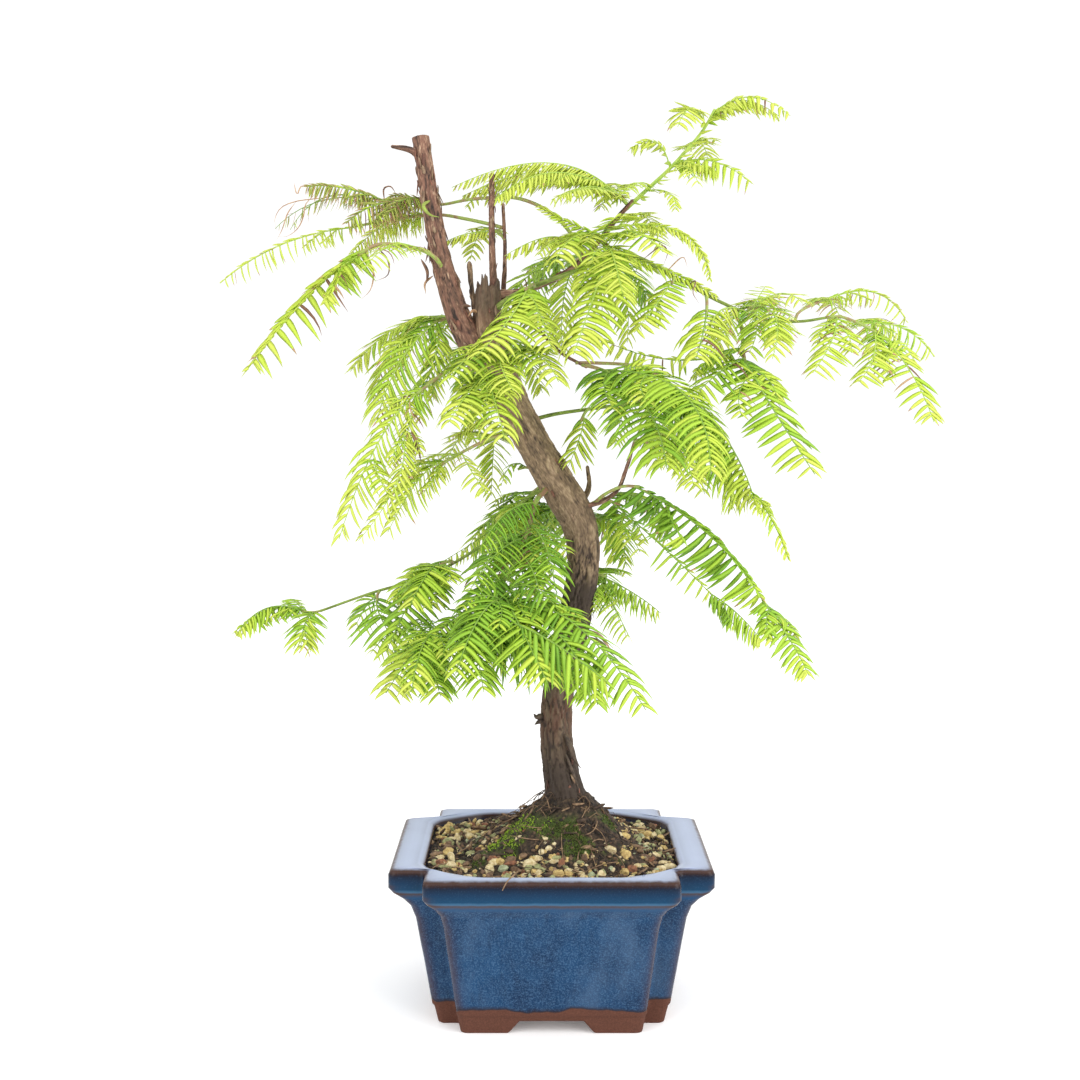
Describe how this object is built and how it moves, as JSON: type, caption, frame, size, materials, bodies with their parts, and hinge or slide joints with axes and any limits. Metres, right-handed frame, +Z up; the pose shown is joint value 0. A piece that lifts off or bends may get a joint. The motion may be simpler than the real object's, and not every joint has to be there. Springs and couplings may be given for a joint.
{
  "type": "bonsai tree",
  "caption": "Small bonsai conifer with a curved trunk, a sawn-off side trunk and drooping sprays of flat needles, growing in a rectangular glazed pot with notched corners",
  "frame": {"origin": "centre of the whole outline on the ground under the feet of the pot", "axes": "+Z up, -Y toward the front of the pot, +X to the right of the front"},
  "size_m": [0.3354, 0.176, 0.428],
  "materials": {
    "glaze": "glossy deep blue glaze, brown where it breaks on the edges",
    "soil": "dark grit with pale pebbles and a little moss",
    "bark": "flaking grey-brown bark",
    "red_bark": "peeling red-brown bark",
    "green_stem": "young green stems",
    "foliage": "fresh green flat needles"
  },
  "bodies": {
    "root": {"pot": "glaze", "soil": "soil", "trunk": "bark", "sawn_trunk": "red_bark", "sawn_side_twig": "red_bark", "dead_stick_long": "red_bark", "dead_stick_short": "red_bark", "dead_stub": "bark", "leader_bough": "red_bark", "right_bough": "green_stem", "mid_right_twig": "red_bark", "back_right_twig": "green_stem", "low_right_twig": "red_bark", "dead_stub_right": "bark", "low_left_bough": "green_stem", "low_left_twig": "green_stem", "left_twig": "green_stem", "crown_leader": "foliage", "arch_left": "foliage", "upper_left_high": "foliage", "upper_left_long": "foliage", "upper_left_low": "foliage", "stick_spray": "foliage", "upper_centre": "foliage", "left_upper": "foliage", "left_mid": "foliage", "left_back": "foliage", "trunk_tuft": "foliage", "front_hang": "foliage", "front_head": "foliage", "front_fall": "foliage", "right_hang": "foliage", "right_arch": "foliage", "right_small": "foliage", "right_fan": "foliage", "right_crest": "foliage", "far_right_upper": "foliage", "far_right_tip": "foliage", "right_swing": "foliage", "front_right": "foliage", "front_right_fall": "foliage", "front_right_under": "foliage", "back_right": "foliage", "back_right_end": "foliage", "low_right_long": "foliage", "low_right_inner": "foliage", "low_right_back": "foliage", "low_right_spray": "foliage", "low_left_tip": "foliage", "low_left_front": "foliage", "low_left_under": "foliage", "long_left_tip": "foliage", "low_left_drop": "foliage", "low_left_fans": "foliage", "low_left_comb": "foliage", "low_left_inner": "foliage", "back_high": "foliage", "back_head": "foliage", "back_low": "foliage"}
  },
  "joints": []
}
